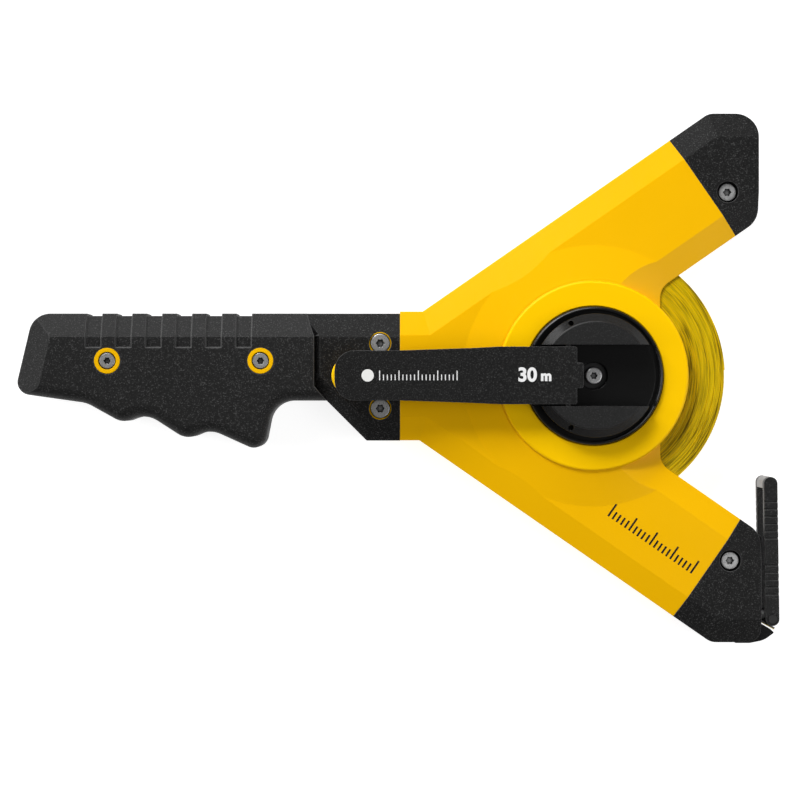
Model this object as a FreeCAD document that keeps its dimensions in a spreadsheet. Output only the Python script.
"""Surveyor's open-reel tape: a Y-shaped frame with a hand grip, a spool and a folding crank.

The frame lies on its back. Its origin is on the spool's axis, on the plane that it lies on.
+X points from the grip to the tape's mouth, +Y to the upper arm and +Z to the crank.
The shells are front and rear halves that meet on the mid level. Lengths are in millimetres.
"""
import FreeCAD, Part
import math
import os
import Sketcher
from FreeCAD import Placement, Rotation, Vector

SIZES = {
    # Levels and heights. A height is counted from the mid level, outwards on either side.
    "mid_level": 12.5,
    "plate_height": 10.6,
    "edge_height": 7.4,
    "void_height": 6.8,
    "flange_room_height": 7.8,
    "flange_room": 43.0,
    "wall": 2.5,
    "bevel_width": 11.0,
    # The two arms, in a frame along each arm.
    "arm_angle": 34.7,
    "upper_outer": 68.9,
    "lower_outer": 69.8,
    "arm_inner": 15.4,
    "upper_seam": 91.1,
    "lower_seam": 93.8,
    "notch_face": 31.4,
    "notch_round": 8.5,
    "tongue_inner": 28.0,
    "tongue_outer": 41.0,
    "tongue_root": 11.0,
    "tongue_reach": 13.0,
    # The neck, and the tang that runs on from it inside the collar and the grip.
    "neck_face": -88.6,
    "neck_half": 29.7,
    "neck_length": 40.0,
    "tang_height": 6.5,
    "tang_top": 22.0,
    "tang_bottom": -5.0,
    "tang_root": 8.0,
    "tang_end": -246.0,
    "tang_step": -106.0,
    "fit_gap": 0.2,
    # The round boss of the frame, around the spool's axis.
    "dome_foot": 60.0,
    "dome_top": 44.5,
    "front_dome_height": 13.0,
    "rear_dome_height": 11.8,
    "disc_radius": 43.6,
    "front_disc_height": 14.5,
    "rear_disc_height": 12.5,
    "disc_round": 1.2,
    "ring_inner": 36.8,
    "ring_outer": 38.6,
    "ring_depth": 0.7,
    "spool_room": 63.5,
    "rotor_opening": 32.1,
    "web_height": 10.9,
    # The caps at the ends of the arms.
    "upper_right": 76.3,
    "upper_end": 121.0,
    "lower_right": 77.5,
    "lower_end": 122.8,
    "cap_bend_round": 8.0,
    "upper_end_round": 10.4,
    "lower_end_round": 6.0,
    "cap_side_round": 10.0,
    "upper_screw_x": 62.0,
    "upper_screw_y": 84.5,
    "lower_screw_x": 63.2,
    "lower_screw_y": -85.0,
    "mouth_left": 65.9,
    "mouth_top": -104.0,
    "insert_top": -72.0,
    "insert_left": 70.8,
    "insert_face": 78.2,
    "insert_across": -60.6,
    "lip_across": -62.7,
    "lip_drop": 0.5,
    "lip_right": 82.3,
    "lip_foot": 9.5,
    "lip_foot_round": 6.0,
    "lip_knee": 2.9,
    "lip_knee_rise": 1.3,
    "lip_knee_round": 10.0,
    "lip_tip": 1.9,
    "lip_tip_rise": 4.8,
    "lip_tip_round": 0.5,
    # The collar between the frame and the grip.
    "collar_top": 28.75,
    "collar_bottom": -29.8,
    "collar_corner_x": -122.4,
    "collar_corner_y": -11.4,
    "collar_joint_x": -128.0,
    "collar_joint_lean": 19.0,
    "collar_joint_high": 18.3,
    "collar_joint_low": -4.6,
    "collar_band_low": -7.6,
    "collar_band_lean": 14.0,
    "collar_slant_bevel": 6.0,
    "collar_joint_bevel": 2.6,
    "collar_joint_drop": 2.0,
    "collar_screw_x": -97.7,
    "collar_screw_y": 15.0,
    # The grip.
    "grip_height": 12.5,
    "grip_edge_height": 7.6,
    "grip_top": 28.8,
    "grip_back_low": -7.8,
    "grip_back_high_round": 10.0,
    "grip_back_low_round": 6.0,
    "grip_back_heading": 166.7,
    "grip_back_reach": 257.4,
    "grip_bevel": 10.8,
    "grip_round": 5.5,
    # Corners of the grip's lower border, from the back to the finger notch at the collar.
    "heel_x": -233.0,
    "heel_y": -12.5,
    "heel_round": 15.0,
    "first_peak_x": -216.6,
    "first_peak_y": -21.6,
    "first_peak_round": 8.0,
    "first_dip_x": -205.5,
    "first_dip_y": -17.4,
    "first_dip_round": 12.0,
    "second_peak_x": -186.9,
    "second_peak_y": -29.4,
    "second_peak_round": 9.0,
    "second_dip_x": -176.2,
    "second_dip_y": -24.6,
    "second_dip_round": 12.0,
    "last_peak_x": -151.6,
    "last_peak_y": -35.7,
    "last_peak_round": 6.0,
    "notch_corner_x": -146.8,
    "notch_corner_round": 11.0,
    # Thumb grooves in the grip's upper border.
    "groove_first": -232.9,
    "groove_pitch": 13.8,
    "groove_width": 7.1,
    "groove_depth": 1.1,
    "groove_end": 13.0,
    "handle_screw_rear": -222.9,
    "handle_screw_front": -152.6,
    "handle_screw_y": 6.9,
    # Screws and the brass inserts that they go into.
    "shank_radius": 2.0,
    "insert_radius": 3.0,
    "insert_depth": 5.5,
    "head_height": 2.0,
    "socket_share": 0.48,
    "socket_depth": 1.3,
    "handle_head": 3.8,
    "handle_boss": 5.9,
    "handle_boss_height": 12.7,
    "handle_seat": 10.4,
    "collar_head": 4.5,
    "collar_boss": 5.1,
    "collar_boss_height": 10.0,
    "collar_seat": 8.0,
    "cap_head": 4.3,
    "cap_recess": 4.9,
    "cap_boss": 6.5,
    "cap_seat": 7.0,
    "tongue_height": 6.0,
    "head_clearance": 0.25,
    # Spool: levels are counted from the plane that the reel lies on.
    "blade_low": 6.0,
    "blade_high": 19.0,
    "roll_inner": 26.0,
    "roll_outer": 61.5,
    "hub_rim": 25.9,
    "flange_radius": 42.0,
    "flange_gap": 0.1,
    "flange_thickness": 0.8,
    "flange_bore": 10.0,
    "rear_journal": 6.0,
    "front_journal": 8.0,
    "running_gap": 0.05,
    "rear_bush_outer": 8.0,
    "front_bush_outer": 10.5,
    "rear_bush_level": 1.5,
    "hub_well": 7.0,
    "hub_hole": 4.6,
    "hub_hole_circle": 17.2,
    "washer_outer": 14.0,
    "spool_screw": 2.5,
    "spool_insert": 4.0,
    "spool_insert_length": 13.0,
    # Rotor.
    "rotor_low": 24.0,
    "rotor_rim": 31.7,
    "rotor_rim_top": 29.5,
    "rotor_top": 38.4,
    "rotor_flat": 24.2,
    "rotor_cone": 28.1,
    "rotor_cone_low": 34.8,
    "rotor_lip": 1.6,
    "rotor_groove_floor": 27.0,
    "rotor_seat": 25.1,
    "rotor_seat_radius": 6.4,
    "rotor_hole": 1.25,
    "rotor_hole_x": -11.3,
    "rotor_hole_y": 23.6,
    "centre_washer": 0.6,
    "centre_head": 3.8,
    "channel_half": 13.9,
    "channel_floor": 28.0,
    "hinge_x": -12.5,
    "hinge_level": 36.1,
    "hinge_radius": 1.25,
    "hinge_half": 17.0,
    # Crank arm and its knob.
    "crank_low": 33.6,
    "crank_thickness": 5.0,
    "crank_drop": 2.0,
    "crank_hub_half": 13.0,
    "crank_neck_half": 12.5,
    "crank_tip_half": 11.3,
    "crank_end": -8.7,
    "crank_tab": -5.8,
    "crank_tab_half": 5.75,
    "slope_start": -54.0,
    "slope_end": -44.0,
    "crank_tip": -118.2,
    "crank_tip_round": 9.0,
    "knob_x": -111.0,
    "knob_radius": 8.8,
    "knob_low": 23.9,
    "knob_high": 31.3,
    "knob_axle": 2.0,
    "knob_axle_head": 3.4,
    "marker_x": -103.2,
    "marker_radius": 2.8,
    # Tape path: a frame turned to the tape's direction, with the spool's axis as its origin.
    "tape_angle": -28.8,
    "blade_offset": -61.8,
    "blade_thickness": 0.3,
    "blade_start": 8.0,
    "blade_end": 130.0,
    "roller_along": 106.5,
    "upper_roller_across": -57.6,
    "lower_roller_across": -66.4,
    "roller_radius": 4.0,
    "roller_pin": 1.2,
    "wiper_along": 97.0,
    "wiper_length": 5.0,
    "wiper_near": 0.45,
    "wiper_far": 3.4,
    "end_plate_start": 119.9,
    "end_plate_thickness": 0.7,
    "rivet_along": 121.6,
    "rivet_spread": 3.0,
    "rivet_radius": 1.1,
    "rivet_rim": 0.5,
    "rivet_head": 0.25,
    # Hook at the tape's end.
    "pin_along": 126.4,
    "pin_across": -58.2,
    "pin_radius": 2.05,
    "hook_tilt": 0.8,
    "hook_half": 3.15,
    "hook_length": 65.4,
    "hook_low": 2.5,
    "hook_high": 22.5,
    "hook_bar": 3.2,
    "hook_bridge": 5.2,
    "ribs_near": 11.0,
    "ribs_far": 36.8,
    "rib_pitch": 3.36,
    "rib_width": 0.9,
    "rib_depth": 0.5,
}

THUMB_GROOVES = 6
NEAR_RIBS = 5
FAR_RIBS = 6
FINGER_CORNERS = ("heel", "first_peak", "first_dip", "second_peak", "second_dip", "last_peak")

DOC = FreeCAD.newDocument("SurveyorTapeReel")
NODES = {}


class Size:
    """A value, with the expression on the sheet's cells that gives it."""

    def __init__(self, value, text):
        self.value = float(value)
        self.text = text

    def __add__(self, other):
        other = as_size(other)
        return Size(self.value + other.value, f"({self.text} + {other.text})")

    def __sub__(self, other):
        other = as_size(other)
        return Size(self.value - other.value, f"({self.text} - {other.text})")

    def __mul__(self, other):
        other = as_size(other)
        return Size(self.value * other.value, f"({self.text} * {other.text})")

    def __truediv__(self, other):
        other = as_size(other)
        return Size(self.value / other.value, f"({self.text} / {other.text})")

    def __radd__(self, other):
        return as_size(other) + self

    def __rsub__(self, other):
        return as_size(other) - self

    def __rmul__(self, other):
        return as_size(other) * self

    def __neg__(self):
        return as_size(0) - self


def as_size(number):
    if isinstance(number, Size):
        return number
    text = repr(float(number)) if number >= 0 else f"(0 - {-float(number)!r})"
    return Size(number, text)


def cosine(angle):
    angle = as_size(angle)
    return Size(math.cos(math.radians(angle.value)), f"cos({angle.text})")


def sine(angle):
    angle = as_size(angle)
    return Size(math.sin(math.radians(angle.value)), f"sin({angle.text})")


class Sheet:
    """Reads a driving size by its alias."""

    def __getattr__(self, alias):
        return Size(SIZES[alias], "Sizes." + alias)


S = Sheet()


def make_sheet():
    sheet = DOC.addObject("Spreadsheet::Sheet", "Sizes")
    for row, (alias, value) in enumerate(SIZES.items(), start=1):
        sheet.set(f"A{row}", alias)
        sheet.set(f"B{row}", str(value))
        sheet.setAlias(f"B{row}", alias)
    DOC.recompute()


# ---------------------------------------------------------------- sketches

def bind_constraints(sketch, constraints):
    """Adds dimensional constraints and binds each one to its size."""
    for kind, where, size in constraints:
        index = sketch.addConstraint(Sketcher.Constraint(kind, *where, size.value))
        sketch.setExpression(f"Constraints[{index}]", size.text)


def pin_point(geometry, position, x, y):
    """Dimensions that hold a point at a place counted from the sketch's origin."""
    place = (-1, 1, geometry, position)
    return [("DistanceX", place, x), ("DistanceY", place, y)]


def draw_circle(sketch, x, y, radius):
    x, y, radius = as_size(x), as_size(y), as_size(radius)
    circle = Part.Circle(Vector(x.value, y.value, 0), Vector(0, 0, 1), radius.value)
    index = sketch.addGeometry(circle, False)
    bind_constraints(sketch, [("Radius", (index,), radius)] + pin_point(index, 3, x, y))


def corner_arc(before, at, after, radius):
    """The arc that rounds a corner, the two points where it starts and ends, and its turn."""
    into = (at - before).normalize()
    out = (after - at).normalize()
    turn = math.atan2(into.x * out.y - into.y * out.x, into.dot(out))
    setback = radius * math.tan(abs(turn) / 2)
    first = at - into * setback
    last = at + out * setback
    side = math.copysign(1, turn)
    centre = first + Vector(-into.y, into.x, 0) * radius * side
    ends = (first, last) if side > 0 else (last, first)
    start, stop = (math.atan2(end.y - centre.y, end.x - centre.x) for end in ends)
    circle = Part.Circle(centre, Vector(0, 0, 1), radius)
    return Part.ArcOfCircle(circle, start, stop), first, last, side


def draw_outline(sketch, corners):
    """Draws a closed outline of straight sides. A corner is (x, y) or (x, y, radius)."""
    corners = [tuple(as_size(value) for value in corner) for corner in corners]
    count = len(corners)
    places = [Vector(corner[0].value, corner[1].value, 0) for corner in corners]
    arcs = {}
    for index, corner in enumerate(corners):
        if len(corner) == 3:
            before, after = places[index - 1], places[(index + 1) % count]
            arcs[index] = corner_arc(before, places[index], after, corner[2].value)
    lines = []
    for index in range(count):
        follower = (index + 1) % count
        start = arcs[index][2] if index in arcs else places[index]
        end = arcs[follower][1] if follower in arcs else places[follower]
        lines.append(sketch.addGeometry(Part.LineSegment(start, end), False))
    joins = []
    dimensions = []
    for index, corner in enumerate(corners):
        incoming, outgoing = lines[index - 1], lines[index]
        if index not in arcs:
            joins.append(Sketcher.Constraint("Coincident", incoming, 2, outgoing, 1))
            dimensions += pin_point(outgoing, 1, corner[0], corner[1])
            continue
        shape, _, _, side = arcs[index]
        arc = sketch.addGeometry(shape, False)
        mark = sketch.addGeometry(Part.Point(places[index]), True)
        first, last = (1, 2) if side > 0 else (2, 1)
        joins.append(Sketcher.Constraint("Tangent", incoming, 2, arc, first))
        joins.append(Sketcher.Constraint("Tangent", outgoing, 1, arc, last))
        joins.append(Sketcher.Constraint("PointOnObject", mark, 1, incoming))
        joins.append(Sketcher.Constraint("PointOnObject", mark, 1, outgoing))
        dimensions.append(("Radius", (arc,), corner[2]))
        dimensions += pin_point(mark, 1, corner[0], corner[1])
    sketch.addConstraint(joins)
    bind_constraints(sketch, dimensions)


def circle(x, y, radius):
    """A loop for a sketch: a full circle."""
    return ("circle", x, y, radius)


def rectangle(left, bottom, right, top):
    return [(left, bottom), (right, bottom), (right, top), (left, top)]


# ---------------------------------------------------------------- features

class Piece:
    """A PartDesign body, with short names for the features that are used here."""

    def __init__(self, label):
        self.label = label
        self.body = DOC.addObject("PartDesign::Body", label)
        self.made = 0

    def feature(self, kind, sketch):
        self.made += 1
        feature = self.body.newObject("PartDesign::" + kind, f"{self.label}_{kind}{self.made}")
        feature.Profile = sketch
        return feature

    def sketch(self, plane, loops, base=(0, 0, 0), heading=None):
        """A sketch on an origin plane, moved by base and turned about the plane's second axis."""
        name = f"{self.label}_sketch{self.made}"
        sketch = self.body.newObject("Sketcher::SketchObject", name)
        planes = [item for item in self.body.Origin.OriginFeatures if item.Role == plane]
        sketch.AttachmentSupport = [(planes[0], "")]
        sketch.MapMode = "FlatFace"
        base = [as_size(value) for value in base]
        turn = as_size(heading or 0)
        origin = Vector(*(value.value for value in base))
        sketch.AttachmentOffset = Placement(origin, Rotation(Vector(0, 1, 0), turn.value))
        for axis, value in zip("xyz", base):
            sketch.setExpression(f".AttachmentOffset.Base.{axis}", value.text)
        if heading is not None:
            sketch.setExpression(".AttachmentOffset.Rotation.Angle", turn.text)
        for loop in loops:
            if loop[0] == "circle":
                draw_circle(sketch, *loop[1:])
            else:
                draw_outline(sketch, loop)
        return sketch

    def pad(self, loops, levels):
        """Adds the loops, drawn in plan, between two levels."""
        low, high = (as_size(value) for value in levels)
        pad = self.feature("Pad", self.sketch("XY_Plane", loops, (0, 0, low)))
        pad.setExpression("Length", (high - low).text)
        return self

    def pocket(self, loops, levels):
        """Cuts the loops, drawn in plan, between two levels."""
        low, high = (as_size(value) for value in levels)
        pocket = self.feature("Pocket", self.sketch("XY_Plane", loops, (0, 0, high)))
        pocket.setExpression("Length", (high - low).text)
        return self

    def side_pad(self, loops, depth, y=0):
        """Adds loops that are drawn in X and Z, to both sides of the plane at a given Y."""
        pad = self.feature("Pad", self.sketch("XZ_Plane", loops, (0, 0, -as_size(y))))
        pad.SideType = "Symmetric"
        pad.setExpression("Length", as_size(depth).text)
        return self

    def slot(self, loop, depth, base=(0, 0, 0), heading=0):
        """Cuts a loop drawn in an upright plane, to both sides of that plane."""
        pocket = self.feature("Pocket", self.sketch("XZ_Plane", [loop], base, heading))
        pocket.SideType = "Symmetric"
        pocket.setExpression("Length", as_size(depth).text)
        return self

    def turn(self, section, kind="Revolution", base=(0, 0, 0)):
        """Adds, or as a Groove cuts, a section of radius and level turned about an upright axis.

        Base is where the axis stands, counted along the upright sketch plane and out of it.
        """
        sketch = self.sketch("XZ_Plane", [section], base)
        feature = self.feature(kind, sketch)
        feature.ReferenceAxis = (sketch, ["V_Axis"])
        feature.Angle = 360.0
        return self

    def fillet(self, radius, wanted):
        """Rounds the edges whose middle point is wanted."""
        DOC.recompute()
        last = self.body.Tip
        names = []
        for number, edge in enumerate(last.Shape.Edges, start=1):
            middle = edge.valueAt((edge.FirstParameter + edge.LastParameter) / 2)
            if wanted(middle):
                names.append(f"Edge{number}")
        fillet = self.body.newObject("PartDesign::Fillet", self.label + "_Fillet")
        fillet.Base = (last, names)
        fillet.setExpression("Radius", as_size(radius).text)
        return self


def place(item, x=0, y=0, z=0, turn=0):
    """Binds an object's placement: a shift, and a turn about Z."""
    x, y, z, turn = (as_size(value) for value in (x, y, z, turn))
    spin = Rotation(Vector(0, 0, 1), turn.value)
    item.Placement = Placement(Vector(x.value, y.value, z.value), spin)
    for axis, value in zip("xyz", (x, y, z)):
        item.setExpression(f".Placement.Base.{axis}", value.text)
    if turn.value:
        item.setExpression(".Placement.Rotation.Angle", turn.text)
    return item


def boolean(kind, label, base, tool):
    feature = DOC.addObject("Part::" + kind, label)
    feature.Base = base
    feature.Tool = tool
    feature.Refine = True
    return feature


def fuse(label, items):
    feature = DOC.addObject("Part::MultiFuse", label)
    feature.Shapes = items
    feature.Refine = True
    return feature


def group(label, items):
    feature = DOC.addObject("Part::Compound", label)
    feature.Links = items
    return feature


def keep(name, item):
    """Names a finished sub-part, which is written to a file of that name."""
    item.Label = name
    NODES[name] = item
    return item


# ---------------------------------------------------------------- shared geometry

def level(side, height):
    """The level of a height over the mid level. Side is 1 for the front and -1 for the rear."""
    return S.mid_level + as_size(height) * side


def layer(side, inner, outer):
    levels = (level(side, inner), level(side, outer))
    return levels if side > 0 else levels[::-1]


def arm_point(along, across, hand):
    """A plan point of an arm. Hand is 1 for the upper arm and -1 for the lower one."""
    along, across = as_size(along), as_size(across)
    x = along * cosine(S.arm_angle) - across * sine(S.arm_angle)
    y = along * sine(S.arm_angle) + across * cosine(S.arm_angle)
    return x, y * hand


def arm_line_y(across, x):
    """The Y at which a line along the upper arm reaches a given X."""
    return (across + x * sine(S.arm_angle)) / cosine(S.arm_angle)


def arm_line_x(across, y):
    return (y * cosine(S.arm_angle) - across) / sine(S.arm_angle)


def tape_point(along, across):
    """A plan point from its place in the frame that is turned to the tape's direction."""
    along, across = as_size(along), as_size(across)
    x = along * cosine(S.tape_angle) - across * sine(S.tape_angle)
    y = along * sine(S.tape_angle) + across * cosine(S.tape_angle)
    return x, y


def bevel(piece, side, heading, reach, width, full=None, edge=None, span=None):
    """Cuts a sloping band along a straight edge.

    Heading is the direction that the edge faces, and reach its distance from the Z axis.
    With span, the band only runs between those two distances along the edge.
    """
    slope = bevel_section(side, reach, -width, full or S.plate_height, edge or S.edge_height)
    if span is None:
        return piece.slot(slope, 800, heading=heading)
    first, last = span
    middle = (first + last) / 2
    base = (middle * sine(heading), 0, middle * cosine(heading))
    return piece.slot(slope, last - first, base, heading)


def bevel_section(side, reach, width, full, edge):
    """The section of a bevel's cut. Width is signed: it points from the edge into the piece."""
    drop = full - edge
    steps = 2.4
    outside = 0.2
    above = 8.0
    return [
        (reach - width * outside, level(side, edge - drop * outside)),
        (reach + width * steps, level(side, edge + drop * steps)),
        (reach + width * steps, level(side, full + above)),
        (reach - width * outside, level(side, full + above)),
    ]


def arm_outer(hand):
    return S.upper_outer if hand > 0 else S.lower_outer


def arm_seam(hand):
    return S.upper_seam if hand > 0 else S.lower_seam


# ---------------------------------------------------------------- frame shells

def neck_block(side):
    piece = Piece("neck_block" + SIDE_NAME[side])
    end = S.neck_face + S.neck_length
    outline = rectangle(S.neck_face, -S.neck_half, end, S.neck_half)
    piece.pad([outline], layer(side, 0, S.plate_height))
    for heading in (90, -90):
        bevel(piece, side, heading, S.neck_half, S.bevel_width)
    return piece.body


def arms_block(side):
    """Both arms in one plate, with the shallow dome around the spool's axis."""
    dome = S.front_dome_height if side > 0 else S.rear_dome_height
    outline = []
    for hand in (-1, 1):
        seam, outer = arm_seam(hand), arm_outer(hand)
        neck_corner = (S.neck_face, arm_line_y(outer, S.neck_face) * hand)
        notch = (S.notch_face, arm_line_y(S.arm_inner, S.notch_face) * hand, S.notch_round)
        ends = [arm_point(seam, across, hand) for across in (outer, S.arm_inner)]
        run = [neck_corner] + ends + [notch]
        outline += run if hand < 0 else run[::-1]
    piece = Piece("arms_block" + SIDE_NAME[side])
    piece.pad([outline], layer(side, 0, dome))
    far = 200
    above = [
        (S.dome_top, level(side, dome)),
        (S.dome_foot, level(side, S.plate_height)),
        (far, level(side, S.plate_height)),
        (far, level(side, dome + 2)),
        (S.dome_top, level(side, dome + 2)),
    ]
    piece.turn(above, "Groove")
    for hand in (1, -1):
        bevel(piece, side, (90 + S.arm_angle) * hand, arm_outer(hand), S.bevel_width)
    notch_bevels(piece, side)
    return piece.body


def notch_bevels(piece, side):
    """The band along the arms' inner edges, which follows the rounded notch between them."""
    centre_x = S.notch_face + S.notch_round
    centre_y = arm_line_y(S.arm_inner - S.notch_round, centre_x)
    start = centre_x * cosine(S.arm_angle) + centre_y * sine(S.arm_angle)
    end = start + S.lower_seam
    for hand in (1, -1):
        span = (-end, -start) if hand > 0 else (start, end)
        bevel(piece, side, (S.arm_angle - 90) * hand, -S.arm_inner, S.bevel_width, span=span)
    bevel(piece, side, as_size(0), S.notch_face, S.bevel_width, span=(-centre_y, centre_y))
    cone = bevel_section(side, S.notch_round, S.bevel_width, S.plate_height, S.edge_height)
    for hand in (1, -1):
        piece.turn(cone, "Groove", (centre_x, 0, centre_y * -hand))


def disc(side):
    """The plain disc over the dome. The rear one has a ring groove in the face it lies on."""
    height = S.front_disc_height if side > 0 else S.rear_disc_height
    face = level(side, height)
    section = [
        (0, level(side, S.flange_room_height)),
        (S.disc_radius, level(side, S.flange_room_height)),
        (S.disc_radius, face, S.disc_round),
    ]
    if side < 0:
        floor = level(side, height - S.ring_depth)
        section += [(S.ring_outer, face), (S.ring_outer, floor)]
        section += [(S.ring_inner, floor), (S.ring_inner, face)]
    piece = Piece("disc" + SIDE_NAME[side])
    return piece.turn(section + [(0, face)]).body


def shell_void(side):
    """The hollow of a shell: the spool's room, both arms and the neck."""
    piece = Piece("shell_void" + SIDE_NAME[side])
    levels = layer(side, -1, S.void_height)
    piece.pad([circle(0, 0, S.spool_room)], levels)
    piece.pad([circle(0, 0, S.flange_room)], layer(side, -1, S.flange_room_height))
    for hand in (1, -1):
        near, far = as_size(-10), arm_seam(hand) + 5
        low, high = S.arm_inner + S.wall, arm_outer(hand) - S.wall
        corners = [(near, low), (far, low), (far, high), (near, high)]
        piece.pad([[arm_point(*corner, hand) for corner in corners]], levels)
    start, end = S.neck_face + S.wall, S.neck_face + S.neck_length
    room = rectangle(start, S.wall - S.neck_half, end, S.neck_half - S.wall)
    piece.pad([room], levels)
    return piece.body


def screw_places():
    """The plan places of the paired screws: grip, collar and caps."""
    handle = [(S.handle_screw_rear, S.handle_screw_y), (S.handle_screw_front, S.handle_screw_y)]
    collar = [(S.collar_screw_x, S.collar_screw_y * hand) for hand in (1, -1)]
    caps = [(S.upper_screw_x, S.upper_screw_y), (S.lower_screw_x, S.lower_screw_y)]
    return handle, collar, caps


def tang_outline(gap):
    """The outline of the tang that holds the collar and the grip, with a gap all round."""
    root, half = S.neck_face + S.tang_root, S.tang_top + gap
    end, step, bottom = S.tang_end - gap, S.tang_step - gap, S.tang_bottom - gap
    return [(root, -half), (root, half), (end, half), (end, bottom), (step, bottom), (step, -half)]


def shell_inside(side):
    """The tang with its screw bosses, and the tongues that carry the caps."""
    handle, collar, _ = screw_places()
    piece = Piece("shell_inside" + SIDE_NAME[side])
    piece.pad([tang_outline(0)], layer(side, 0, S.tang_height))
    boss_top = S.handle_boss_height if side > 0 else S.grip_height - 0.4
    piece.pad([circle(x, y, S.handle_boss) for x, y in handle], layer(side, 0, boss_top))
    bosses = [circle(x, y, S.collar_boss) for x, y in collar]
    piece.pad(bosses, layer(side, 0, S.collar_boss_height))
    for hand in (1, -1):
        seam = arm_seam(hand)
        root, tip = seam - S.tongue_root, seam + S.tongue_reach
        for end, height in ((seam, S.void_height + 0.5), (tip, S.tongue_height)):
            corners = rectangle(root, S.tongue_inner, end, S.tongue_outer)
            outline = [arm_point(*corner, hand) for corner in corners]
            piece.pad([outline], layer(side, 0, height))
    return piece.body


def shell_bores(side):
    """Everything that is drilled or turned out of a shell after it is moulded."""
    handle, collar, caps = screw_places()
    piece = Piece("shell_bores" + SIDE_NAME[side])
    if side < 0:
        piece.pad([circle(0, 0, S.rear_bush_outer)],
                  (S.rear_bush_level, S.mid_level))
        for x, y in handle + collar + caps:
            piece.pad([circle(x, y, S.insert_radius)], layer(side, -1, S.insert_depth))
        return piece.body
    piece.pad([circle(0, 0, S.front_bush_outer)], layer(side, 0, S.web_height))
    piece.pad([circle(0, 0, S.rotor_opening)], layer(side, S.web_height, 20))
    for x, y in handle + collar + caps:
        piece.pad([circle(x, y, S.shank_radius + 0.1)], layer(side, -1, 20))
    heads = [(handle, S.handle_head, S.handle_seat), (collar, S.collar_head, S.collar_seat)]
    for places, head, seat in heads:
        for x, y in places:
            piece.pad([circle(x, y, head + S.head_clearance)], layer(side, seat, 20))
    return piece.body


def frame_shell(side):
    label = SHELL_NAME[side] + "_frame_shell"
    plates = [neck_block(side), arms_block(side), disc(side)]
    blank = fuse(label + "_blank", plates)
    hollow = boolean("Cut", label + "_hollow", blank, shell_void(side))
    whole = fuse(label + "_whole", [hollow, shell_inside(side)])
    keep(label, boolean("Cut", label, whole, shell_bores(side)))


# ---------------------------------------------------------------- caps

def cap_outline(hand, inset):
    right, end = (S.upper_right, S.upper_end) if hand > 0 else (S.lower_right, S.lower_end)
    end_round = S.upper_end_round if hand > 0 else S.lower_end_round
    inner, outer = S.arm_inner + inset, arm_outer(hand) - inset
    right, end = right - inset, end - inset
    return [
        arm_point(arm_seam(hand), inner, hand),
        (right, arm_line_y(inner, right) * hand, S.cap_side_round - inset),
        (right, end * hand, end_round - inset),
        (arm_line_x(outer, end), end * hand, S.cap_bend_round - inset),
        arm_point(arm_seam(hand), outer, hand),
    ]


def arm_cap(side, hand):
    """A moulded cap over the end of an arm. The lower one is open where the tape runs out."""
    name = f"{SHELL_NAME[side]}_{'upper' if hand > 0 else 'lower'}_cap"
    end = S.upper_end if hand > 0 else S.lower_end
    piece = Piece(name)
    piece.pad([cap_outline(hand, 0)], layer(side, 0, S.plate_height))
    bevel(piece, side, (90 + S.arm_angle) * hand, arm_outer(hand), S.bevel_width)
    bevel(piece, side, (S.arm_angle - 90) * hand, -S.arm_inner, S.bevel_width)
    bevel(piece, side, as_size(90) * hand, end, S.bevel_width)
    piece.pocket([cap_outline(hand, S.wall)], layer(side, -1, S.void_height))
    if hand < 0:
        outside = S.lower_right + 20
        back = S.lower_right - S.wall - 0.1
        mouth = [
            (S.mouth_left, -S.lower_end - 5),
            (outside, -S.lower_end - 5),
            (outside, S.insert_top),
            (back, S.insert_top),
            (back, S.mouth_top),
            (S.mouth_left, S.mouth_top),
        ]
        piece.pocket([mouth], layer(side, -1, S.void_height))
    _, _, screws = screw_places()
    x, y = screws[0] if hand > 0 else screws[1]
    piece.pad([circle(x, y, S.cap_boss)], layer(side, S.tongue_height, S.void_height + 1))
    if side > 0:
        piece.pocket([circle(x, y, S.shank_radius + 0.1)], layer(side, 5, 12))
        piece.pocket([circle(x, y, S.cap_recess)], layer(side, S.cap_seat, 12))
    keep(name, piece.body)


def mouth_insert():
    """The bearing face for the hook, which also guides the tape's inner face."""
    back = S.lower_right - S.wall
    outline = [
        (S.insert_left, tape_guide_y(S.insert_left, S.insert_across)),
        (S.insert_face, tape_guide_y(S.insert_face, S.insert_across)),
        (S.insert_face, S.insert_top - 2, 1.2),
        (back + 0.4, S.insert_top - 0.1),
        (back, S.insert_top - 2),
        (back, S.mouth_top),
        (S.insert_left, S.mouth_top),
    ]
    piece = Piece("mouth_insert")
    piece.pad([outline], inside_levels())
    keep("mouth_insert", piece.body)


def tape_guide_y(x, across):
    """The Y at which a line along the tape reaches a given X."""
    return (across + x * sine(S.tape_angle)) / cosine(S.tape_angle)


def inside_levels():
    return S.mid_level - S.void_height, S.mid_level + S.void_height


def mouth_lip():
    """The lip under the tape, with its pointed tip outside the cap."""
    left, right = S.mouth_left, S.lip_right
    bottom = -S.lower_end - S.lip_drop
    outline = [
        (left, tape_guide_y(left, S.lip_across)),
        (left, bottom),
        (right - S.lip_foot, bottom, S.lip_foot_round),
        (right - S.lip_knee, bottom + S.lip_knee_rise, S.lip_knee_round),
        (right + S.lip_tip, bottom + S.lip_tip_rise, S.lip_tip_round),
        (right, tape_guide_y(right, S.lip_across)),
    ]
    piece = Piece("mouth_lip")
    piece.pad([outline], inside_levels())
    keep("mouth_lip", piece.body)


# ---------------------------------------------------------------- collar and grip

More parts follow.
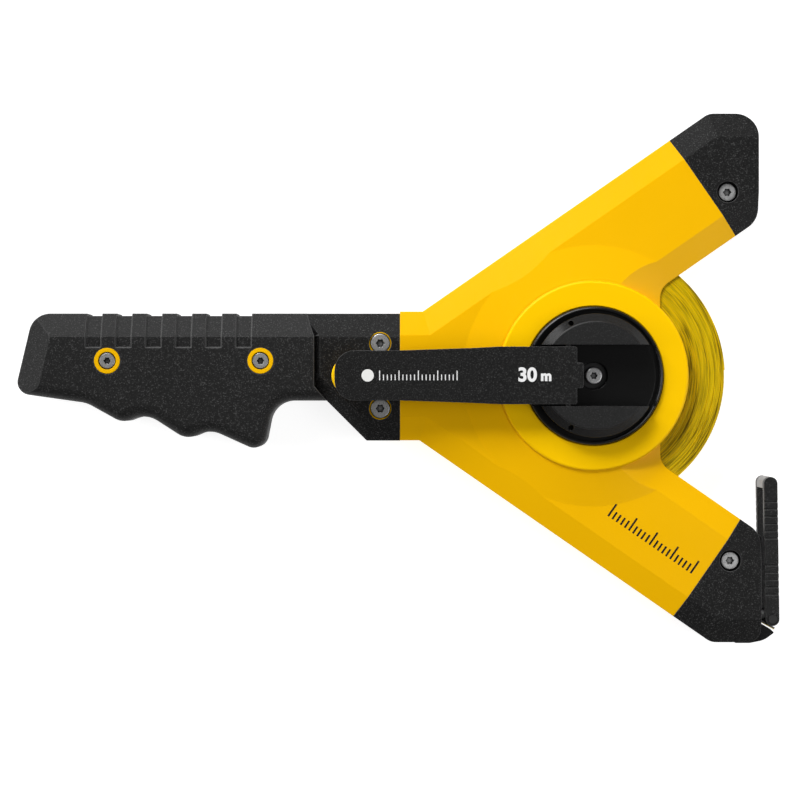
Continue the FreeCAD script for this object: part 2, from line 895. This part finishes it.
def collar(side):
    name = SHELL_NAME[side] + "_collar"
    run = S.collar_bottom - S.collar_corner_y
    slant_end = (S.collar_corner_x - run, S.collar_bottom)
    outline = joint_line(S.collar_top) + [slant_end, (S.neck_face, S.collar_bottom),
                                          (S.neck_face, S.collar_top)]
    piece = Piece(name)
    piece.pad([outline], layer(side, 0, S.plate_height))
    bevel(piece, side, as_size(90), S.collar_top, S.bevel_width)
    bevel(piece, side, as_size(-90), -S.collar_bottom, S.bevel_width)
    diagonal = (S.collar_corner_x + S.collar_corner_y) * cosine(225)
    bevel(piece, side, as_size(225), diagonal, S.collar_slant_bevel)
    joint_bevels(piece, side)
    piece.pocket([tang_outline(S.fit_gap)], layer(side, -1, S.tang_height + S.fit_gap / 2))
    _, screws, _ = screw_places()
    for x, y in screws:
        hole = circle(x, y, S.collar_boss + S.fit_gap / 2)
        piece.pocket([hole], layer(side, 0, 12))
    keep(name, piece.body)


def joint_line(top):
    """The line where the collar meets the grip, from the top edge down to the finger notch."""
    rise = top - S.collar_joint_high
    lean = rise * sine(S.collar_joint_lean) / cosine(S.collar_joint_lean)
    return [
        (S.collar_joint_x - lean, top),
        (S.collar_joint_x, S.collar_joint_high),
        (S.collar_joint_x, S.collar_joint_low),
        (S.collar_corner_x, S.collar_corner_y),
    ]


def joint_bevels(piece, side):
    """The narrow band that steps the collar down to the line where it meets the grip."""
    full, edge = S.plate_height, S.plate_height - S.collar_joint_drop
    width = S.collar_joint_bevel
    x, y = S.collar_joint_x, S.collar_joint_high
    bevel(piece, side, as_size(180), -x, width, full, edge, (S.collar_band_low, y))
    heading = 180 + S.collar_joint_lean
    reach = x * cosine(heading) + y * sine(heading)
    foot = x * sine(heading) - y * cosine(heading)
    bevel(piece, side, heading, reach, width, full, edge, (foot, foot + S.collar_band_lean))


def grip_back_x(y):
    """The X of the grip's slanted back end at a given Y."""
    return (S.grip_back_reach - sine(S.grip_back_heading) * y) / cosine(S.grip_back_heading)


def grip_outline():
    """The grip seen from the front: a straight back, and rests for the fingers below."""
    top, low = S.grip_top, S.grip_back_low
    fingers = [tuple(getattr(S, f"{corner}_{part}") for part in ("x", "y", "round"))
               for corner in FINGER_CORNERS]
    return [
        (grip_back_x(top), top, S.grip_back_high_round),
        (grip_back_x(low), low, S.grip_back_low_round),
        *fingers,
        (S.notch_corner_x, S.collar_corner_y, S.notch_corner_round),
    ] + joint_line(top)[::-1]


def thumb_grooves(piece, side):
    """Shallow grooves across the top edge, for the thumb."""
    fall = S.grip_height - S.grip_edge_height
    floor = S.grip_height - S.groove_depth
    ridge = S.grip_top - S.grip_bevel
    beyond = S.grip_top + 3
    slope = fall / S.grip_bevel
    cutter = [
        (S.groove_end, level(side, floor)),
        (ridge, level(side, floor)),
        (beyond, level(side, floor - slope * (beyond - ridge))),
        (beyond, level(side, 16)),
        (S.groove_end, level(side, 16)),
    ]
    for number in range(THUMB_GROOVES):
        left = S.groove_first + S.groove_pitch * number
        notch = rectangle(left, S.grip_top - S.groove_depth, left + S.groove_width, beyond)
        piece.pocket([notch], layer(side, -1, 16))
        middle = left + S.groove_width / 2
        piece.slot(cutter, S.groove_width, (middle, 0, 0), 90)


def grip(side):
    name = SHELL_NAME[side] + "_grip_shell"
    piece = Piece(name)
    piece.pad([grip_outline()], layer(side, 0, S.grip_height))
    piece.fillet(S.grip_round, lambda at: is_finger_edge(at, side))
    full, edge = S.grip_height, S.grip_edge_height
    bevel(piece, side, as_size(90), S.grip_top, S.grip_bevel, full, edge)
    bevel(piece, side, S.grip_back_heading, S.grip_back_reach, S.grip_bevel, full, edge)
    thumb_grooves(piece, side)
    piece.pocket([tang_outline(S.fit_gap)], layer(side, -1, S.tang_height + S.fit_gap / 2))
    handle, _, _ = screw_places()
    holes = [circle(x, y, S.handle_boss + S.fit_gap / 2) for x, y in handle]
    piece.pocket(holes, layer(side, 0, 16))
    keep(name, piece.body)


def is_finger_edge(at, side):
    """Whether an edge's middle is on the outer face's lower border, under the fingers."""
    outer_face = abs(at.z - level(side, S.grip_height).value) < 0.01
    return outer_face and at.y < -5 and at.x < S.collar_corner_x.value - 4


# ---------------------------------------------------------------- screws and inserts

def lobed_socket(radius):
    """The outline of a six-lobe drive socket."""
    outline = []
    for step in range(12):
        lobe = step % 2 == 0
        reach = radius * (1.0 if lobe else 0.74)
        rounding = radius * (0.13 if lobe else 0.3)
        angle = 30 * step
        outline.append((reach * cosine(angle), reach * sine(angle), rounding))
    return outline


def screw(label, x, y, head, seat, tip, shank):
    """A button-head screw. Seat is the level under its head, and tip the level of its end."""
    top = seat + S.head_height
    piece = Piece(label)
    piece.turn([(0, tip), (shank, tip), (shank, seat), (head, seat), (head, top, 0.6), (0, top)])
    piece.pocket([lobed_socket(head * S.socket_share)], (top - S.socket_depth, top + 1))
    place(piece.body, x, y)
    return piece.body


def insert_ring(label, x, y, outer, bore, levels):
    low, high = levels
    piece = Piece(label)
    piece.turn([(bore, low), (outer, low), (outer, high), (bore, high)])
    place(piece.body, x, y)
    return piece.body


def paired_screws():
    handle, collar, caps = screw_places()
    rows = (
        ("handle", handle, S.handle_head, S.handle_seat),
        ("collar", collar, S.collar_head, S.collar_seat),
        ("cap", caps, S.cap_head, S.cap_seat),
    )
    tip = level(-1, S.insert_depth - 0.5)
    for name, places, head, seat in rows:
        screws = [
            screw(f"{name}_screw{number}", x, y, head, level(1, seat), tip, S.shank_radius)
            for number, (x, y) in enumerate(places, start=1)
        ]
        keep(name + "_screws", group(name + "_screws", screws))
        levels = (level(-1, S.insert_depth), S.mid_level)
        inserts = [
            insert_ring(f"{name}_insert{number}", x, y, S.insert_radius, S.shank_radius, levels)
            for number, (x, y) in enumerate(places, start=1)
        ]
        keep(name + "_inserts", group(name + "_inserts", inserts))


# ---------------------------------------------------------------- bearings

def turned(name, section):
    piece = Piece(name)
    piece.turn(section)
    return keep(name, piece.body)


def ring(name, bore, outer, low, high):
    return turned(name, [(bore, low), (outer, low), (outer, high), (bore, high)])


def bearings():
    rear_plate, front_plate = level(-1, S.flange_room_height), level(1, S.flange_room_height)
    rear_flange = S.blade_low - S.flange_gap - S.flange_thickness
    front_flange = S.blade_high + S.flange_gap + S.flange_thickness
    gap, outer = S.running_gap, S.washer_outer
    ring("rear_bush", S.rear_journal + gap, S.rear_bush_outer, S.rear_bush_level, rear_plate)
    ring("front_bush", S.front_journal + gap, S.front_bush_outer,
         front_plate, S.mid_level + S.web_height)
    ring("rear_thrust_washer", S.rear_journal + 0.3, outer, rear_plate, rear_flange - gap)
    ring("front_thrust_washer", S.front_journal + 0.3, outer, front_flange + gap, front_plate)


def guide_rollers():
    """Two rollers beside the tape, on pins between the caps."""
    rear_plate, front_plate = inside_levels()
    pins = []
    for name, across in (("upper", S.upper_roller_across), ("lower", S.lower_roller_across)):
        x, y = tape_point(S.roller_along, across)
        body = ring(name + "_guide_roller", S.roller_pin + S.running_gap, S.roller_radius,
                    rear_plate + 0.3, front_plate - 0.3)
        place(body, x, y)
        pin = Piece(name + "_roller_pin")
        pin.pad([circle(0, 0, S.roller_pin)], (rear_plate, front_plate))
        pins.append(place(pin.body, x, y))
    keep("roller_pins", group("roller_pins", pins))


def wiper_pads():
    """Two felt strips that wipe the tape as it is wound in."""
    pads = []
    middle = S.blade_offset - S.blade_thickness / 2
    for name, away in (("inner", 1), ("outer", -1)):
        near, far = middle + S.wiper_near * away, middle + S.wiper_far * away
        strip = rectangle(S.wiper_along, near, S.wiper_along + S.wiper_length, far)
        pad = Piece(name + "_wiper")
        pad.pad([strip], inside_levels())
        pads.append(place(pad.body, turn=S.tape_angle))
    keep("wiper_pads", group("wiper_pads", pads))


# ---------------------------------------------------------------- spool

def spool():
    rear_flange = S.blade_low - S.flange_gap - S.flange_thickness
    front_flange = S.blade_high + S.flange_gap + S.flange_thickness
    seat_low, seat_high = rear_flange + S.flange_thickness, front_flange - S.flange_thickness
    journal_low = S.rear_bush_level + 0.3
    hub = Piece("spool_hub")
    hub.turn([
        (0, journal_low),
        (S.rear_journal, journal_low),
        (S.rear_journal, rear_flange),
        (S.flange_bore, rear_flange),
        (S.flange_bore, seat_low),
        (S.hub_rim, seat_low),
        (S.hub_rim, seat_high),
        (S.flange_bore, seat_high),
        (S.flange_bore, front_flange),
        (S.front_journal, front_flange),
        (S.front_journal, S.rotor_low),
        (S.spool_insert, S.rotor_low),
        (S.spool_insert, S.hub_well),
        (0, S.hub_well),
    ])
    reach = S.hub_hole_circle
    holes = [circle(reach * cosine(60 * step), reach * sine(60 * step), S.hub_hole)
             for step in range(6)]
    hub.pocket(holes, (0, 30))
    keep("spool_hub", hub.body)
    ring("spool_insert", S.spool_screw, S.spool_insert,
         S.hub_well, S.hub_well + S.spool_insert_length)
    ring("rear_flange", S.flange_bore, S.flange_radius, rear_flange, seat_low)
    ring("front_flange", S.flange_bore, S.flange_radius, seat_high, front_flange)
    ring("tape_roll", S.roll_inner, S.roll_outer, S.blade_low, S.blade_high)


def rotor():
    """The black hub that carries the crank: a rounded rim, a groove and a cone."""
    lip = S.rotor_rim - S.rotor_lip
    piece = Piece("crank_rotor")
    piece.turn([
        (0, S.rotor_low),
        (S.rotor_rim, S.rotor_low),
        (S.rotor_rim, S.rotor_rim_top, 1.5),
        (lip, S.rotor_rim_top),
        (lip, S.rotor_groove_floor),
        (S.rotor_cone, S.rotor_groove_floor),
        (S.rotor_cone, S.rotor_cone_low),
        (S.rotor_flat, S.rotor_top, 0.8),
        (0, S.rotor_top),
    ])
    half, end = S.channel_half, S.rotor_cone + 0.2
    piece.pocket([rectangle(-end, -half, end, half)], (S.channel_floor, S.rotor_top + 1))
    piece.pocket([circle(0, 0, S.rotor_seat_radius)], (S.rotor_seat, S.rotor_top))
    piece.pocket([circle(0, 0, S.spool_screw)], (S.rotor_low - 1, S.channel_floor))
    for hand in (1, -1):
        hole = circle(S.rotor_hole_x, S.rotor_hole_y * hand, S.rotor_hole)
        piece.pocket([hole], (S.channel_floor, S.rotor_top + 1))
    piece.slot(circle(S.hinge_x, S.hinge_level, S.hinge_radius), S.hinge_half * 2)
    keep("crank_rotor", piece.body)
    seat = S.rotor_seat + S.centre_washer
    ring("centre_washer", S.spool_screw, S.rotor_seat_radius - 0.4, S.rotor_seat, seat)
    keep("centre_screw", screw("centre_screw", 0, 0, S.centre_head, seat, 9, S.spool_screw))


def hinge_bar(label, radius):
    """A round bar along the crank's hinge axis."""
    bar = Piece(label)
    bar.side_pad([circle(S.hinge_x, S.hinge_level, radius)], S.hinge_half * 2)
    return bar.body


# ---------------------------------------------------------------- crank

def crank_plan():
    """The arm from the front: a wide hub end with a tab, and a round tip."""
    half = [
        (S.crank_tab, S.crank_tab_half, 1),
        (S.crank_end, S.crank_tab_half),
        (S.crank_end, S.crank_hub_half, 1),
        (S.slope_end, S.crank_hub_half),
        (S.slope_start, S.crank_neck_half),
        (S.neck_face, S.crank_tip_half),
        (S.crank_tip, S.crank_tip_half, S.crank_tip_round),
    ]
    mirrored = [(corner[0], -as_size(corner[1])) + tuple(corner[2:]) for corner in half]
    return half + mirrored[::-1]


def crank_arm():
    """The plan and the side view of the arm, with its step down to the tip."""
    plan = Piece("crank_plan")
    low, high = S.crank_low, S.crank_low + S.crank_thickness
    plan.pad([crank_plan()], (low - 5, high + 2))
    edge = Piece("crank_side")
    tip = S.crank_tip - 1
    hub = S.crank_tab + 1
    edge.side_pad([[
        (tip, low - S.crank_drop),
        (S.slope_start, low - S.crank_drop),
        (S.slope_end, low),
        (hub, low),
        (hub, high),
        (S.slope_end, high),
        (S.slope_start, high - S.crank_drop),
        (tip, high - S.crank_drop),
    ]], 40)
    blank = boolean("Common", "crank_blank", plan.body, edge.body)
    bores = Piece("crank_bores")
    arm_low, arm_high = low - S.crank_drop, high - S.crank_drop
    bores.pad([circle(S.knob_x, 0, S.knob_axle)], (arm_low - 1, arm_low + 3))
    bores.pad([circle(S.marker_x, 0, S.marker_radius)], (arm_high - 1.2, arm_high + 1))
    pin_room = hinge_bar("crank_pin_room", S.hinge_radius + S.running_gap)
    tools = fuse("crank_tools", [bores.body, pin_room])
    keep("crank_arm", boolean("Cut", "crank_arm", blank, tools))
    marker = Piece("marker_plug")
    marker.pad([circle(S.marker_x, 0, S.marker_radius)], (arm_high - 1.2, arm_high + 0.1))
    keep("marker_plug", marker.body)


def knob():
    """The knob, free to spin on a headed axle under the arm's tip."""
    head_low = S.knob_low - 0.3
    head_high = S.knob_low + 0.7
    arm_low = S.crank_low - S.crank_drop
    axle = S.knob_axle
    head = S.knob_axle_head
    turned("knob_axle", [
        (0, head_low),
        (head, head_low),
        (head, head_high),
        (axle, head_high),
        (axle, arm_low + 3),
        (0, arm_low + 3),
    ])
    bore = axle + S.running_gap
    turned("crank_knob", [
        (head + 0.4, S.knob_low),
        (S.knob_radius, S.knob_low, 1.2),
        (S.knob_radius, S.knob_high, 1.2),
        (bore, S.knob_high),
        (bore, head_high + 0.1),
        (head + 0.4, head_high + 0.1),
    ])
    for name in ("knob_axle", "crank_knob"):
        place(NODES[name], S.knob_x)


# ---------------------------------------------------------------- tape end and hook

def tape_lead():
    """The straight stretch of blade between the roll and the hook."""
    far = S.blade_offset - S.blade_thickness
    blade = Piece("tape_lead")
    blade.pad([rectangle(S.blade_start, far, S.blade_end, S.blade_offset)],
              (S.blade_low, S.blade_high))
    rivet_holes(blade)
    keep("tape_lead", place(blade.body, turn=S.tape_angle))


def tape_end_plate():
    """A steel plate on the blade's end, rolled around the hook's pin."""
    plate = Piece("tape_end_plate")
    top = S.blade_offset + S.end_plate_thickness
    levels = (S.hook_low + S.hook_bar + 0.4, S.hook_high - S.hook_bar - 0.4)
    plate.pad([rectangle(S.end_plate_start, S.blade_offset, S.blade_end, top)], levels)
    plate.pad([circle(S.pin_along, S.pin_across, S.pin_radius + 1.15)], levels)
    plate.pocket([circle(S.pin_along, S.pin_across, S.pin_radius)], (0, 30))
    rivet_holes(plate)
    keep("tape_end_plate", place(plate.body, turn=S.tape_angle))


def rivet_loops(radius):
    heights = (S.mid_level - S.rivet_spread, S.mid_level + S.rivet_spread)
    return [circle(S.rivet_along, height, radius) for height in heights]


def rivet_holes(piece):
    for loop in rivet_loops(S.rivet_radius):
        piece.slot(loop, 4, (0, 0, -S.blade_offset))


def end_rivets():
    """Two rivets through the blade and its end plate, with a flat head on either side."""
    half = (S.end_plate_thickness + S.blade_thickness) / 2
    middle = S.blade_offset - S.blade_thickness + half
    head = S.rivet_head
    rivets = Piece("end_rivets")
    rivets.side_pad(rivet_loops(S.rivet_radius), half * 2, middle)
    for away in (1, -1):
        face = middle + (half + head / 2) * away
        rivets.side_pad(rivet_loops(S.rivet_radius + S.rivet_rim), head, face)
    keep("end_rivets", place(rivets.body, turn=S.tape_angle))


def hook():
    """A folding hook in the form of a loop: two plastic bars and the steel bridge between them."""
    x, y = tape_point(S.pin_along, S.pin_across)
    half = S.hook_half
    near_round = half - 0.05
    bar = [
        (-half, -half, near_round),
        (half, -half, near_round),
        (half, S.hook_length, near_round),
        (-half, S.hook_length, near_round),
    ]
    gap = (S.hook_low + S.hook_bar, S.hook_high - S.hook_bar)
    bars = Piece("hook_bars")
    bars.pad([bar], (S.hook_low, gap[0]))
    bars.pad([bar], (gap[1], S.hook_high))
    bars.pocket([circle(0, 0, S.pin_radius + S.running_gap)], (0, 30))
    for lowest, count in ((S.ribs_near, NEAR_RIBS), (S.ribs_far, FAR_RIBS)):
        for step in range(count):
            bottom = lowest + S.rib_pitch * step
            rib = rectangle(-9, bottom, 9, bottom + S.rib_width)
            bars.pocket([rib], (S.hook_high - S.rib_depth, S.hook_high + 1))
            bars.pocket([rib], (S.hook_low - 1, S.hook_low + S.rib_depth))
    bridge = Piece("hook_bridge")
    bottom = S.hook_length - S.hook_bridge
    bridge.pad([[(-half, bottom), (half, bottom)] + bar[2:]], gap)
    for name, piece in (("hook_bars", bars), ("hook_bridge", bridge)):
        keep(name, place(piece.body, x, y, turn=S.hook_tilt))
    pin = Piece("hook_pin")
    pin.pad([circle(0, 0, S.pin_radius)], (S.hook_low - 0.4, S.hook_high + 0.4))
    keep("hook_pin", place(pin.body, x, y))


# ---------------------------------------------------------------- whole object

SIDE_NAME = {1: "_front", -1: "_rear"}
SHELL_NAME = {1: "front", -1: "rear"}


def check_document():
    """Stops at the first feature that failed, or sub-part that isn't one good shape."""
    for item in DOC.Objects:
        if "Invalid" in item.State or "Error" in item.State:
            raise RuntimeError(f"{item.Label} failed: {item.State}")
    for name, item in NODES.items():
        if item.Shape.isNull() or not item.Shape.isValid():
            raise RuntimeError(f"{name} has no valid shape")
        if not item.Shape.Solids:
            raise RuntimeError(f"{name} has no solid")


def main():
    make_sheet()
    for side in (1, -1):
        frame_shell(side)
        grip(side)
        collar(side)
        for hand in (1, -1):
            arm_cap(side, hand)
    mouth_insert()
    mouth_lip()
    paired_screws()
    bearings()
    guide_rollers()
    wiper_pads()
    spool()
    rotor()
    keep("crank_hinge_pin", hinge_bar("crank_hinge_pin", S.hinge_radius))
    crank_arm()
    knob()
    tape_lead()
    tape_end_plate()
    end_rivets()
    hook()
    DOC.recompute()
    check_document()
    os.makedirs("parts", exist_ok=True)
    for name, item in NODES.items():
        item.Shape.exportStep(f"parts/{name}.step")
        shape = item.Shape
        print(f"{name}: {len(shape.Solids)} solid, {shape.Volume / 1000:.2f} cm3")


main()
